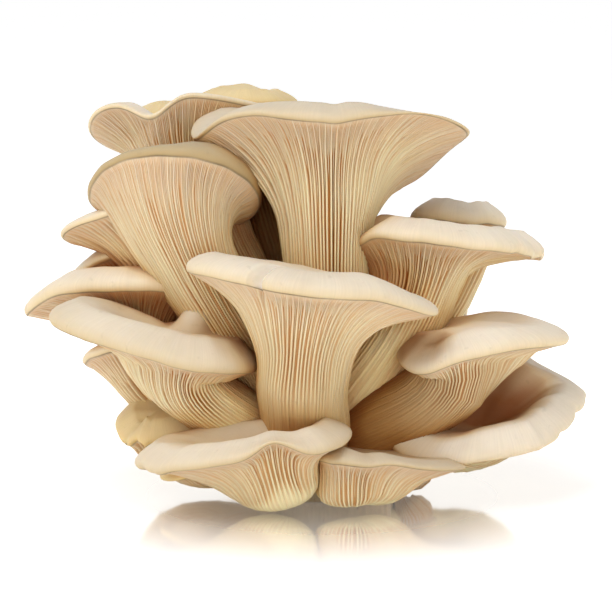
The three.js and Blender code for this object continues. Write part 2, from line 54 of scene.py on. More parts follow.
# One entry for each mushroom.
# hub: middle of the cap. up: the way the cap faces. foot: where the stem joins the others.
# reach and flare: cap radius and how fast the underside opens, to the right, back, left, front.
# lip, lipWide: height and width of the rounded margin. dish: height of the cap's middle.
# lobes: heading, spread, outward, upward. nicks: small tears in the margin, same order.
# lips: heading, spread, thicker by. bulge, rounding: a swollen stem, and how far up its end rounds off.
# fine: seen from close by. ribs, gillsRun: how deep the gills are and how far down the stem they run.
# tone: greyer cap. stain: painted shade, browner down the stem under the caps above. brown: painted shade added to
# the shelter of the underside and of the top; below zero it paints light.
mushrooms = {
    "mushroom_top_centre": dict(
        hub=(3, 4, 123), up=(0, 0.06, 1), foot=(3, 8, 16),
        reach=(44, 26, 44, 26), flare=(8, 7, 14, 16), neck=14, root=13,
        lip=4, lipWide=7, dish=-8,
        lobes=[(48, 30, 4, -22), (188, 12, 1, -6), (222, 16, 0, 1.5),
               (318, 22, 1, 2.4), (272, 9, 0, -1), (0, 20, 0, -3)],
        fine=True, tone=0.4, soften=0.9, ribs=1.25, brownAndPaintedShade=(-0.2, 0),
        lips=[(188, 26, -1.8), (342, 34, -2.6)],
    ),
    "mushroom_top_left": dict(
        hub=(-48, 4, 97), up=(0.05, 0.72, 1), foot=(-6, 0, 18),
        reach=(27.5, 22, 28, 28), flare=(12, 12, 9, 18), neck=13, root=11,
        lip=4, lipWide=7, dish=-7, hold=0.25,
        lobes=[(180, 20, 0, -1)],
        fine=True, tone=0.85, ribs=1.25, brownAndPaintedShade=(-0.1, 0), lips=[(320, 50, 3.5)],
    ),
    "mushroom_front_centre": dict(
        hub=(-4, -30, 70.6), up=(0.18, 0.09, 1), foot=(-6, -14, 20),
        reach=(40, 21, 39, 24), flare=(8, 8, 7, 8), neck=13.5, root=14.5,
        lip=5, lipWide=9, dish=5,
        lobes=[(318, 26, 0, 2.2)],
        fine=True, tone=0.1, point=1.6, gillsRun=0.8, ribs=0.34, paintedStemShade=0.55,
        lips=[(0, 28, -1.4)], nicks=[(231, 3.2, -6.0, -0.8)],
    ),
    "mushroom_upper_right": dict(
        hub=(34, 3, 83), up=(0.12, 0.1, 1), foot=(2, 2, 18),
        reach=(38, 24, 24, 24), flare=(3, 9, 8, 9), neck=13, root=13,
        lip=5, lipWide=8, dish=2,
        lobes=[(192, 22, 0, -5), (35, 22, 0, -3)],
        fine=True, gillsRun=0.32, ribs=0.8,
        nicks=[(348, 4, -1.6, -1.0), (6, 3, 1.0, -0.8), (332, 3, -0.8, 0.5)],
    ),
    "mushroom_lower_right": dict(
        hub=(43, -14, 50), up=(-0.2, -0.04, 1), foot=(10, -4, 16),
        reach=(36, 22, 18, 18), flare=(1.8, 4, 2, 2.6), neck=12.5, root=12,
        lip=5, lipWide=8, dish=8, hold=0.2,
        lobes=[(0, 30, 0, -4), (225, 30, 0, -3)],
        fine=True, gillsRun=0.5, ribs=0.32, paintedStemShade=0.95,
    ),
    "mushroom_base_right": dict(
        hub=(53, -4, 31.3), up=(0.06, -0.58, 1), foot=(14, -2, 12),
        reach=(29, 27, 33, 27), flare=(8, 8, 8, 8), neck=10, root=10,
        lip=4.5, lipWide=8, dish=-11,
        lobes=[(220, 36, 3, -8), (5, 16, 4, 0), (40, 22, -2, 0)],
        fine=True, brownAndPaintedShade=(0.1, 0.42),
        nicks=[(350, 4, -1.2, 0.6), (8, 3, 1.0, -0.5), (328, 4, -0.9, 0.4), (305, 3, 0.6, 0.3)],
    ),
    "mushroom_front_left": dict(
        hub=(-16, -30, 21), up=(-0.15, -0.08, 1), foot=(-11, -25, 2),
        reach=(25, 15, 43, 21), flare=(4, 6, 7, 5), neck=10, root=9,
        lip=5, lipWide=8, dish=1, hold=0.3, rounding=0.35,
        lobes=[(275, 24, -1, 7), (225, 30, 0, 2)], bulge=(0.6, 0.4, 3),
        fine=True, tone=0.25, soften=0.75, ribs=0.32, brownAndPaintedShade=(-0.18, 0),
        nicks=[(188, 4, -1.2, 0.5), (200, 3, 0.8, -0.6), (172, 3, -0.8, 0.4)],
    ),
    "mushroom_front_right": dict(
        hub=(9, -26, 16.5), up=(0.08, 0.08, 1), foot=(9, -25, 2),
        reach=(36, 16, 12, 16), flare=(9, 5, 4, 5), neck=9, root=9,
        lip=2, lipWide=6, dish=-1, rounding=0.4,
        lobes=[(310, 20, 0, 1)], bulge=(0.6, 0.4, 2),
        fine=True, tone=0.45, ribs=0.45, lips=[(240, 45, 1.5)],
    ),
    "mushroom_left_front": dict(
        hub=(-44, -18, 50.5), up=(0.23, -0.08, 1), foot=(-12, -6, 14),
        reach=(23, 18, 44, 20), flare=(5, 8, 4.5, 6), neck=11, root=11,
        lip=6, lipWide=8, dish=3, hold=0.2,
        lobes=[(270, 40, 0, -1), (128, 26, 0, -4.5), (0, 30, 0, -1.5)],
        fine=True, tone=0.3, ribs=0.8, warts=[(1, 7, 5.5, 8.5)],
    ),
    "mushroom_left_back": dict(
        hub=(-60, 12, 62), up=(0, 0.3, 1), foot=(-10, 8, 20),
        reach=(30, 24, 36, 24), flare=(8, 9, 4, 6), neck=10, root=11,
        lip=6, lipWide=8, dish=2,
        lobes=[(186, 16, 2, -5)],
        fine=True,
    ),
    "mushroom_left_upper": dict(
        hub=(-50, 14, 88), up=(-0.15, 0.45, 1), foot=(-6, 10, 24),
        reach=(20, 20, 36, 20), flare=(9, 9, 8, 9), neck=12, root=11,
        lip=3, lipWide=6, dish=-1,
    ),
    "mushroom_left_far": dict(
        hub=(-62, 28, 74), up=(-0.35, 0.3, 1), foot=(-6, 14, 24),
        reach=(22, 20, 22, 20), flare=(9, 9, 9, 9), neck=11, root=11,
        lip=4, lipWide=8, dish=-1,
    ),
    "mushroom_rear_top_left": dict(
        hub=(-44, 32, 117), up=(0.03, 0.6, 1), foot=(-4, 15, 20.6),
        reach=(34, 24, 34, 26), flare=(12, 10, 9, 14), neck=12, root=12,
        lip=2.6, lipWide=6, dish=-6, hold=0.25,
        lobes=[(243, 17, -1, -7), (206, 18, 1, 0)],
        fine=True, ribs=1.35, paintedStemShade=0.35, brownAndPaintedShade=(0, -0.25),
    ),
    "mushroom_rear_top": dict(
        hub=(-26, 48, 125), up=(0, 0.05, 1), foot=(0, 18, 20),
        reach=(17, 18, 18, 16), flare=(10, 10, 10, 10), neck=11, root=11,
        lip=4, lipWide=8, dish=8,
        finish="tanFlesh",
    ),
    "mushroom_right_rear": dict(
        hub=(47, 30, 86), up=(0.05, 0.3, 1), foot=(8, 14, 20),
        reach=(15, 15, 16, 14), flare=(7, 7, 7, 7), neck=9, root=10,
        lip=5.5, lipWide=8, dish=2.5,
        lobes=[(280, 50, 0, -2)],
        brownAndPaintedShade=(0, -0.8),
    ),
    "mushroom_left_lower": dict(
        hub=(-58, 12, 43), up=(-0.1, 0.4, 1), foot=(-10, 8, 14),
        reach=(22, 20, 21, 17), flare=(6, 6, 6, 6), neck=9, root=11,
        lip=4, lipWide=8, dish=2,
    ),
    "mushroom_base_left": dict(
        hub=(-52, -3, 24), up=(-0.1, -0.3, 1), foot=(-12, 0, 10),
        reach=(19, 16, 15, 14), flare=(5, 5, 5, 5), neck=8, root=9,
        lip=4, lipWide=8, dish=6,
        lobes=[(215, 16, 0, -3), (90, 30, 0, 1.5)],
        finish="tanFlesh", brownAndPaintedShade=(0, -0.75),
        nicks=[(232, 5, -1.9, 0.8), (250, 4, 1.0, -0.8), (214, 4, -1.2, 0.5)],
    ),
    "button_base_left": dict(
        hub=(-36, -14.5, 15), up=(-0.45, -0.15, 1), foot=(-12, 0, 9),
        reach=(14, 9, 17, 12), flare=(3.5, 3.5, 3.5, 3.5), neck=6.5, root=7.5,
        lip=2.5, lipWide=8, dish=0, hold=0.15,
        finish="tanFlesh",
    ),
    "button_base_right": dict(
        hub=(28, 2, 8.6), up=(0.1, 0, 1), foot=(15, 3.4, 9.7),
        reach=(11, 12, 10, 12), flare=(3, 3, 3, 3), neck=6, root=6,
        lip=2.5, lipWide=8, dish=1, hold=0.2,
    ),
    "mushroom_rear_right": dict(
        hub=(26, 46, 57), up=(0.2, 0.4, 1), foot=(10, 16, 18),
        reach=(24, 24, 24, 20), flare=(8, 8, 8, 8), neck=11, root=12,
        lip=5, lipWide=8, dish=1,
        lobes=[(60, 40, 2, -3)],
    ),
    "mushroom_rear_centre": dict(
        hub=(6, 46, 109), up=(0.05, 0.2, 1), foot=(2, 18, 18),
        reach=(25, 24, 28, 19), flare=(11, 11, 11, 11), neck=12, root=12,
        lip=4, lipWide=8, dish=-5,
        lobes=[(120, 30, 2, -4)],
    ),
    "mushroom_rear_left": dict(
        hub=(-36, 48, 55), up=(-0.2, 0.4, 1), foot=(-6, 18, 16),
        reach=(26, 26, 26, 22), flare=(8, 8, 8, 8), neck=11, root=12,
        lip=5, lipWide=8, dish=1,
        lobes=[(130, 35, 2, -3)],
    ),
    "mushroom_rear_low": dict(
        hub=(20, 48, 31), up=(0.2, 0.45, 1), foot=(6, 20, 9),
        reach=(26, 22, 24, 20), flare=(7, 7, 7, 7), neck=10, root=11,
        lip=4, lipWide=8, dish=0,
        lobes=[(90, 35, 0, 3)],
    ),
    "mushroom_rear_far": dict(
        hub=(-54, 47, 122), up=(-0.05, 0.05, 1), foot=(-6, 20, 22),
        reach=(10, 11, 11, 10), flare=(5, 5, 5, 5), neck=7, root=9,
        lip=2.5, lipWide=8, dish=5,
        finish="tanFlesh",
    ),
    "mushroom_rear_middle": dict(
        hub=(-8, 54, 82), up=(-0.05, 0.45, 1), foot=(0, 20, 18),
        reach=(26, 22, 25, 20), flare=(9, 9, 9, 9), neck=11, root=12,
        lip=4, lipWide=8, dish=-4,
        lobes=[(60, 30, 1, -4)],
    ),
    "mushroom_rear_base": dict(
        hub=(-24, 50, 28), up=(-0.25, 0.55, 1), foot=(-6, 22, 8),
        reach=(19, 20, 20, 18), flare=(6, 6, 6, 6), neck=9, root=10,
        lip=4, lipWide=8, dish=1,
    ),
}

fineGills = dict(pitch=1.1, tiers=(0, 2, 1, 2), rows=20, stemRows=11)   # full, third, second, third
coarseGills = dict(pitch=1.45, tiers=(0, 1), rows=13, stemRows=8)       # pitch: mm between full gills

gillShape = dict(
    blade=0.5,              # thickness of one gill
    depth=1.3,              # how far a gill stands off the flesh
    stemDepth=0.16,         # what is left of that on the stem, and at its foot
    footDepth=0.06,
    rimGap=0.35,            # gills start this far inside the margin
    riseOver=4.0,
    rimPlaces=(0, 0.005, 0.012),
    secondEnd=(0.60, 0.98),     # second and third gills end here, as a share of the way to the stem
    thirdEnd=(0.25, 0.60),
    endOver=0.12,
    noEnd=9.0,
    lean=0.09,              # random share of a cell that a gill leans by
    uneven=0.16,            # random mm that a gill stands higher
    wander=0.010,
    stemBlade=0.26,         # on the stem a gill and its gaps are about as wide
    gapeSize=3.2,
    swell=0.35,
    swellSize=22,
    flareLeft=0.1,          # flare that is still there where the stem begins
    stemLean=0.35,
)

marginShape = dict(
    cadTuck=35.0,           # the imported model's margin curls this far under
    tuck=14.0,              # this one turns more sharply, at the same rim line
    reachOut=0.7,
    point=2.4,              # above 1 draws the margin out to a thinner edge
    angles=(-12.6, -10.5, -5, 3, 13, 26, 42, 62, 90),
    topRows=13,
    ripple=0.14,
    rippleFade=4.0,         # mm over which the ripples of the margin die away underneath
    swell=0.5,
    swellSize=26.0,
    grain=0.12,
    grainSize=9,
    tearSpread=2.4,
)


def unitRows(v):
    # each vector divided by its own length
    v = np.asarray(v, float)
    return v / np.linalg.norm(v, axis=-1, keepdims=True)


def smoothStep(x):
    # x*x*(3 - 2x), with x held between 0 and 1
    x = np.clip(x, 0, 1)
    return x * x * (3 - 2 * x)


def sineNoise(points, size, seed, count=14):
    # the sum of count sines that run in random directions, each about size long
    rng = np.random.default_rng(seed)
    way = unitRows(rng.normal(size=(count, 3)))
    pace = 2 * math.pi / (size * rng.uniform(0.7, 1.5, count))
    start = rng.uniform(0, 2 * math.pi, count)
    return np.sin(points @ (way * pace[:, None]).T + start).sum(-1) / math.sqrt(count / 2)


def bellAt(heading, at, spread):
    # exp(-(angle from at / spread)^2)
    turn = (heading - math.radians(at) + math.pi) % (2 * math.pi) - math.pi
    return np.exp(-(turn / math.radians(spread)) ** 2)


def rimLine(body, heading):
    # quarter ellipses, plus each lobe as out or up times exp(-(angle / spread)^2)
    east, north, west, south = body["reach"]
    c, s = np.cos(heading), np.sin(heading)
    a = np.where(c >= 0, east, west)
    b = np.where(s >= 0, north, south)
    radius = 1 / np.sqrt((c / a) ** 2 + (s / b) ** 2)
    lift = np.zeros_like(radius)
    for at, spread, out, up in body.get("lobes", []):
        bell = bellAt(heading, at, spread)
        radius = radius + out * bell
        lift = lift + up * bell
    return radius, lift


def nickLine(body, heading):
    # the same bells for the small tears, which only the margin and the top take
    out = np.zeros_like(heading)
    up = np.zeros_like(heading)
    for at, spread, o, u in body.get("nicks", []):
        bell = bellAt(heading, at, spread)
        out = out + o * bell
        up = up + u * bell
    return out, up


def capFrame(body):
    # normal n, x axis laid into the cap's plane, y = n x x
    n = unitRows(body["up"])
    ex = np.array([1.0, 0, 0])
    ex = unitRows(ex - (ex @ n) * n)
    return n, ex, np.cross(n, ex)


def stemAxis(body, drop):
    # straight down from the hub to drop, then one cubic Bezier curve to the foot
    n = capFrame(body)[0]
    hub = np.array(body["hub"], float)
    foot = np.array(body["foot"], float)
    top = hub - n * drop
    span = np.linalg.norm(top - foot)
    lean = unitRows(unitRows(top - foot) + np.array([0, 0, gillShape["stemLean"]]))
    b = [top, top - n * span * body.get("hold", 0.4), foot + lean * span * 0.3, foot]
    t = np.linspace(0, 1, 80)[:, None]
    p = (1 - t) ** 3 * b[0] + 3 * (1 - t) ** 2 * t * b[1] + 3 * (1 - t) * t * t * b[2] + t ** 3 * b[3]
    d = (1 - t) ** 2 * (b[1] - b[0]) + 2 * (1 - t) * t * (b[2] - b[1]) + t * t * (b[3] - b[2])
    steps = np.linalg.norm(np.diff(p, axis=0), axis=1)
    return drop + np.concatenate([[0], np.cumsum(steps)]), p, -unitRows(d)


def onAxis(body, axis, depth):
    # centre and cross axes of the stem at a depth below the hub
    n, ex, ey = capFrame(body)
    depths, points, ways = axis
    c = np.stack([np.interp(depth, depths, points[:, k]) for k in range(3)], -1)
    t = np.stack([np.interp(depth, depths, ways[:, k]) for k in range(3)], -1)
    above = (depth < depths[0])[..., None]
    c = np.where(above, np.array(body["hub"], float) - n * depth[..., None], c)
    t = unitRows(np.where(above, n, t))
    f = unitRows(ex - (t @ ex)[..., None] * t)
    return c, f, np.cross(t, f)


def underside(body, heading, place):
    # place 0..1 runs down the flare, 1..2 down the stem. Stem radius plus what is left of the
    # flare, e = exp(-(depth) / flare), which fades from 1 at the margin
    ex, ey = capFrame(body)[1:]
    radius, lift = rimLine(body, heading)
    fullLift = rimLine(body, np.linspace(0, 2 * math.pi, 360, endpoint=False))[1]
    drop = max(float((-fullLift).max()), 0) + 1
    axis = stemAxis(body, drop)
    length = axis[0][-1]
    c, s = np.cos(heading), np.sin(heading)
    east, north, west, south = body["flare"]
    flare = (np.clip(c, 0, 1) ** 2 * east + np.clip(s, 0, 1) ** 2 * north
             + np.clip(-c, 0, 1) ** 2 * west + np.clip(-s, 0, 1) ** 2 * south)
    last = np.maximum(gillShape["flareLeft"], np.exp(-(length * 0.8 + lift) / flare))
    left = 1 - (1 - last) * np.clip(place, 0, 1)
    flareDepth = -lift - flare * np.log(left)
    lowest = -lift - flare * np.log(last)
    depth = np.where(place <= 1, flareDepth, lowest + (length - lowest) * (place - 1))
    left = np.exp(-(depth + lift) / flare)
    x = np.clip(depth / length, 0, 1)
    stem = body["neck"] + (body["root"] - body["neck"]) * smoothStep(x)
    if "bulge" in body:
        at, spread, out = body["bulge"]
        stem = stem + out * np.exp(-((x - at) / spread) ** 2)
    if "rounding" in body:
        end = body["rounding"]
        stem = stem * np.sqrt(1 - 0.93 * np.clip((x - (1 - end)) / end, 0, 1) ** 2)
    centre, f, side = onAxis(body, axis, depth)
    fan = (radius - stem) * left
    points = (centre + (stem * c)[..., None] * f + (stem * s)[..., None] * side
              + (fan * c)[..., None] * ex + (fan * s)[..., None] * ey)
    return points, stem + fan


def gillColumns(body, detail, rng):
    # three columns for each gill: the gap before it and the two sides of its blade
    tiers = np.array(detail["tiers"])
    full = int(round(2 * math.pi * body["neck"] / detail["pitch"]))
    slots = len(tiers)
    gills = full * slots
    tier = np.tile(tiers, full)
    cell = np.repeat(np.arange(full), slots)
    spot = np.tile(np.arange(slots), full) / slots
    third = np.array([-0.5, -0.2, 0.2]) / slots
    low, high = gillShape["secondEnd"], gillShape["thirdEnd"]
    ends = np.where(tier == 1, rng.uniform(*low, gills), rng.uniform(*high, gills))
    ends = np.where(tier == 0, gillShape["noEnd"], ends)
    lean = rng.normal(0, gillShape["lean"], full)
    return dict(
        full=full, slots=slots, gills=gills,
        inCell=(spot[:, None] + third).ravel(),
        cell=np.repeat(cell, 3),
        gap=np.tile([True, False, False], gills),
        ends=np.repeat(ends, 3),
        sway=np.repeat(lean, slots * 3),
        swayBefore=np.repeat(np.roll(lean, 1), slots * 3),
        swayAfter=np.repeat(np.roll(lean, -1), slots * 3),
        tone=np.repeat(rng.uniform(0, 1, gills), 3),
        height=np.repeat(rng.normal(0, gillShape["uneven"], gills), 3),
    )


def layGills(body, col, grid, seed):
    # heading of each column: its place in its cell, stretched so that full gills keep their thickness
    # as the cells narrow, plus the gill's lean, plus wander times noise times sin(3 place)
    plain = (col["cell"] + col["inCell"]) * 2 * math.pi / col["full"]
    within = col["inCell"]
    sway = np.where(within < 0, col["sway"] + (col["swayBefore"] - col["sway"]) * -within,
                    col["sway"] + (col["swayAfter"] - col["sway"]) * within)
    around = underside(body, np.broadcast_to(plain, grid.shape), grid)[1]
    cellWide = 2 * math.pi * around / col["full"]
    inCell = (within + 0.5) % 1 - 0.5
    start = 0.2 / col["slots"]
    half = np.clip(0.5 * gillShape["blade"] / cellWide, start, 0.2)
    half = half + (gillShape["stemBlade"] - half) * smoothStep(np.clip(grid - 1, 0, 1) * 3)
    inside = np.abs(inCell) <= start + 1e-9
    beyond = np.sign(inCell) * (half + (np.abs(inCell) - start) * (0.5 - half) / (0.5 - start))
    shift = np.where(inside, inCell * half / start, beyond) - inCell + sway * smoothStep(grid * 2)
    heading = plain + shift * 2 * math.pi / col["full"]
    bend = sineNoise(np.stack([np.cos(plain) * 3, np.sin(plain) * 3, plain * 0], -1), 4, seed + 1)
    return plain, heading + gillShape["wander"] * bend * np.sin(grid * 3.0), cellWide


def carveGills(body, col, grid, base, heading, cellWide, seed):
    # inwards by a depth that grows from the margin and fades down the stem; gaps take all of it,
    # and so does a short gill past its end. No deeper than 1.4 times the width between gills
    shape = gillShape
    downStem = np.clip(grid - 1, 0, 1)
    run = np.linalg.norm(np.diff(base, axis=0, prepend=base[:1]), axis=-1).cumsum(0)
    alongRow = np.roll(base, -1, 1) - np.roll(base, 1, 1)
    downRow = np.gradient(base, axis=0)
    outward = np.cross(downRow, alongRow)
    outward = outward / np.maximum(np.linalg.norm(outward, axis=-1, keepdims=True), 1e-9)
    rise = smoothStep((run - shape["rimGap"]) / shape["riseOver"])
    depth = shape["depth"] * np.clip(body["neck"] / 12, 0.6, 1.1)
    fade = depth + (shape["stemDepth"] - depth) * smoothStep(downStem * 3.0)
    fade = fade + (shape["footDepth"] - shape["stemDepth"]) * smoothStep(downStem * 1.4 - 0.4)
    ringSpot = np.stack([np.cos(heading) * 3, np.sin(heading) * 3, grid * 1.2], -1)
    gape = np.clip(0.85 + 0.42 * sineNoise(ringSpot, shape["gapeSize"], seed + 6), 0.3, 1.6)
    reachDown = body.get("gillsRun", 1.0)
    ridge = 1 - smoothStep((downStem - reachDown * 0.3) / (reachDown * 0.5))
    alive = 4 - 2 * smoothStep((grid - 0.25) / 0.35) - smoothStep((grid - 0.6) / 0.38)
    deep = np.minimum(fade * gape * ridge * body.get("ribs", 1.0), 1.4 * cellWide / alive)
    deep = rise * np.maximum(deep, 0.03)
    ended = smoothStep((grid - col["ends"]) / shape["endOver"])
    carve = deep * np.where(col["gap"], 1, np.clip(ended, 0, 1) * 0.96)
    carve = carve + np.where(col["gap"], 0, col["height"] * rise * (1 - downStem))
    swell = sineNoise(base, shape["swellSize"], seed + 2)[..., None] * shape["swell"] * smoothStep(grid)[..., None]
    under = base - outward * carve[..., None] + outward * swell
    return dict(under=under, outward=outward, run=run, ended=ended, gape=gape, ridge=ridge)


def growCap(body, turn, seed):
    # margin: out by width times cos(angle)^point, up by lip times sin(angle). Top: from the shoulder
    # to the dish by smoothStep. On both go ripples k = 4, 6 ... 16 as sin(k turn) / k, tears and warts
    shape = marginShape
    radius, lift = rimLine(body, turn)
    nickOut, nickUp = nickLine(body, turn)
    dice = np.random.default_rng(seed + 5)
    ripple = sum(dice.normal(0, 1) / k * 3 * np.sin(k * turn + dice.uniform(0, 6.3)) for k in range(4, 17, 2))
    ripple = ripple * shape["ripple"]
    cadTuck, tuck = math.radians(shape["cadTuck"]), math.radians(shape["tuck"])
    angle = np.radians(shape["angles"])[:, None]
    wide = np.minimum(body["lipWide"], radius * 0.45)
    wide = (wide * math.cos(cadTuck) + shape["reachOut"]) / math.cos(tuck)
    lip = body["lip"] + sum(extra * bellAt(turn, at, spread) for at, spread, extra in body.get("lips", []))
    point = body.get("point", shape["point"])
    wide = wide * math.cos(tuck) / math.cos(tuck) ** point
    ring = radius + shape["reachOut"] * (angle + tuck) / (angle + tuck + 0.15) \
        + (wide * np.cos(angle) ** point - wide * math.cos(tuck) ** point)
    rising = (np.sin(angle) + math.sin(tuck)) / (1 + math.sin(tuck))
    softer = 1 - (lift > 0) * body.get("soften", 0.0) * smoothStep(rising)
    high = lift * softer + lip * (1 + math.sin(cadTuck)) * rising
    shoulder, shoulderHigh = ring[-1], high[-1]
    q = (np.arange(shape["topRows"]) + 1)[:, None] / (shape["topRows"] + 0.6)
    level = shoulderHigh.mean()
    highTop = level + (body["dish"] - level) * smoothStep(q) + (shoulderHigh - level) * (1 - smoothStep(q * 1.3))
    edgeness = np.concatenate([np.ones(len(angle)), (1 - q[:, 0]) ** 4])[:, None]
    moveOut, moveUp = ripple * 0.6 + nickOut, ripple + nickUp
    ring = np.concatenate([ring, shoulder * (1 - q)]) + moveOut * edgeness
    high = np.concatenate([high, highTop]) + moveUp * edgeness
    n, ex, ey = capFrame(body)
    top = np.array(body["hub"], float) + (ring * np.cos(turn))[..., None] * ex \
        + (ring * np.sin(turn))[..., None] * ey + high[..., None] * n
    inward = np.concatenate([np.zeros(len(angle)), q[:, 0]])[:, None]
    lump = sineNoise(top, shape["swellSize"], seed + 3) * shape["swell"]
    lump = lump + sineNoise(top, shape["grainSize"], seed + 4) * shape["grain"]
    top = top + (lump * smoothStep(inward * 3 + 0.12))[..., None] * n
    for across, along, size, tall in body.get("warts", []):
        spot = np.hypot(ring * np.cos(turn) - across, ring * np.sin(turn) - along)
        onTop = np.concatenate([smoothStep(rising), np.ones(q.shape)])
        top = top + (tall * onTop * np.exp(-(spot / size) ** 4))[..., None] * n
    rimMove = (moveOut[..., None] * np.stack([np.cos(turn), np.sin(turn)], -1)) @ np.stack([ex, ey])
    rimMove = rimMove + moveUp[:, None] * n
    return dict(top=top, ring=ring, rising=rising, inward=inward, edgeness=edgeness, rimMove=rimMove)


def markFlesh(body, col, grid, plain, heading, carved, cap):
    # what the material reads at each point: the underside's rows, the top's rows, then crown and foot
    run, gape, ended = carved["run"], carved["gape"], carved["ended"]
    turn = heading[0, ::3]
    downStem = np.clip(grid - 1, 0, 1)
    # gap: painted shade between the gills, more towards the front and where they gape
    gap = np.where(col["gap"], smoothStep(run / 2.0), np.clip(ended, 0, 1) * 0.95)
    gap = gap * (1 - 0.85 * smoothStep(downStem * 2.4)) * carved["ridge"]
    gap = gap * (0.68 + 0.5 * bellAt(plain, 270, 45)) * np.clip(0.35 + 0.6 * gape, 0, 1.2)
    gap = gap * (0.45 + 0.55 * body.get("ribs", 1.0))
    topRows = len(cap["ring"]) - len(cap["rising"])
    lipAngles = np.concatenate([np.array(marginShape["angles"], float), np.full(topRows, 90.0)])
    rimward = np.concatenate([cap["rising"][:, 0] - 1, np.zeros(topRows)])[:, None]
    tears = [bellAt(turn, at, marginShape["tearSpread"])
             for at, spread, out, up in body.get("nicks", []) if out < -2]
    # painted shade, browner down the stems that lie under other caps
    paintedStemShade = body.get("paintedStemShade", 0.0) * smoothStep((grid - 0.5) / 1.1)
    below, above = np.zeros(grid.shape), np.zeros(cap["top"].shape[:2])
    parts = {
        "gap": (gap, above, 0, 0),
        "under": (below + 1, above, 0, 1),
        "edge": (np.exp(-(run / 0.25) ** 2), above + np.exp(-((lipAngles + 14) / 2.2) ** 2)[:, None], 0, 0),
        "down": (grid / 2, above, 0, 1),
        "gillTone": (below + col["tone"], above + 0.5, 0.5, 0.5),
        "inward": (below, above + (cap["inward"] + rimward), 1, 0),
        "tear": (below, (sum(tears) + 0 * turn) * cap["edgeness"], 0, 0),
        "tone": (below + body.get("tone", 0.0), above + body.get("tone", 0.0),
                 body.get("tone", 0.0), body.get("tone", 0.0)),
        "paintedStemShade": (paintedStemShade, above, 0, paintedStemShade[-1, 0]),
    }
    marks = {key: np.concatenate([first.ravel(), second.ravel(), [crown], [foot]])
             for key, (first, second, crown, foot) in parts.items()}
    flowUnder = np.stack([np.cos(heading) * 6, np.sin(heading) * 6, run / 16], -1)
    toCrown = (cap["ring"] - cap["ring"].max(0)) / 12
    flowTop = np.stack([np.cos(turn) * 6 + toCrown * 0, np.sin(turn) * 6 + toCrown * 0, toCrown], -1)
    flow = np.concatenate([flowUnder.reshape(-1, 3), flowTop.reshape(-1, 3), [[0, 0, -2]], [[0, 0, 9]]])
    return marks, flow


def growMushroom(body, seed):
    # the carved underside from margin to foot, the margin and the cap's top, all one closed skin
    detail = fineGills if body.get("fine") else coarseGills
    col = gillColumns(body, detail, np.random.default_rng(seed))
    flarePlaces = np.linspace(0.03, 1, detail["rows"]) ** 1.1
    stemPlaces = 1 + np.linspace(0, 1, detail["stemRows"] + 1)[1:]
    place = np.concatenate([gillShape["rimPlaces"], flarePlaces, stemPlaces])
    grid = np.broadcast_to(place[:, None], (len(place), len(col["gap"]))).copy()
    plain, heading, cellWide = layGills(body, col, grid, seed)
    base = underside(body, heading, grid)[0]
    carved = carveGills(body, col, grid, base, heading, cellWide, seed)
    turn = heading[0, ::3]
    cap = growCap(body, turn, seed)
    top = cap["top"]
    rimMove = np.repeat(cap["rimMove"], 3, 0)
    under = carved["under"] + rimMove * np.exp(-carved["run"] / marginShape["rippleFade"])[..., None]
    points = np.concatenate([under.reshape(-1, 3), top.reshape(-1, 3), [top[-1].mean(0)], [under[-1].mean(0)]])
    marks, flow = markFlesh(body, col, grid, plain, heading, carved, cap)

    # a coarser copy of the skin, for working out how sheltered each spot is, which the colour paints as shade
    topWay = np.cross(np.roll(top, -1, 1) - np.roll(top, 1, 1), np.gradient(top, axis=0))
    topWay = topWay / np.maximum(np.linalg.norm(topWay, axis=-1, keepdims=True), 1e-9)
    probe = dict(under=base[:, ::3], underWay=carved["outward"][:, ::3], top=top, topWay=topWay)
    # hollow: where the top's painted shade goes, most towards the middle and the back
    return dict(points=points, triangles=skinTriangles(len(place), col["gills"], len(top)),
                marks=marks, flow=flow, probe=probe, brownAndPaintedShade=body.get("brownAndPaintedShade", (0.0, 0.0)),
                hollow=cap["inward"] * smoothStep(0.55 + 0.6 * np.sin(turn)))


def gridCorners(first, rows, wide):
    # the corners of each square of a grid that closes on itself: this one, the next along, and
    # the two in the row after
    r, c = np.meshgrid(np.arange(rows - 1), np.arange(wide), indexing="ij")
    a, b = first + r * wide + c, first + r * wide + (c + 1) % wide
    return a, b, a + wide, b + wide


def cornerTrios(*trios):
    # each trio of index arrays becomes rows of three
    return np.stack([np.stack(trio, -1) for trio in trios]).reshape(-1, 3)


def skinTriangles(rows, gills, topRows):
    # two triangles for each square of a grid, four for each gill along the margin's seam
    wide = gills * 3
    a, b, d, e = gridCorners(0, rows, wide)
    under = cornerTrios((a, d, e), (a, e, b))
    first = rows * wide
    a, b, d, e = gridCorners(first, topRows, gills)
    top = cornerTrios((a, b, e), (a, e, d))
    g = np.arange(gills)
    u0, u1, u2, u3 = g * 3, g * 3 + 1, g * 3 + 2, (g * 3 + 3) % wide
    t0, t1 = first + g, first + (g + 1) % gills
    seam = cornerTrios((u0, u1, t0), (u1, t1, t0), (u1, u2, t1), (u2, u3, t1))
    crown = first + topRows * gills
    ringEnd = first + (topRows - 1) * gills
    capEnd = cornerTrios((ringEnd + g, ringEnd + (g + 1) % gills, crown + g * 0))
    w = np.arange(wide)
    last = (rows - 1) * wide
    footEnd = cornerTrios((last + w, crown + 1 + w * 0, last + (w + 1) % wide))
    return np.concatenate([under, top, seam, capEnd, footEnd])


airGrid = dict(
    step=3.0, low=(-115, -75, -6), count=(76, 60, 50),      # cubes that take in the whole cluster
    rays=22, reaches=(6, 10, 16, 25, 38, 54),               # mm along each ray where it is read
    standOff=3.0, dimming=1.15,
)


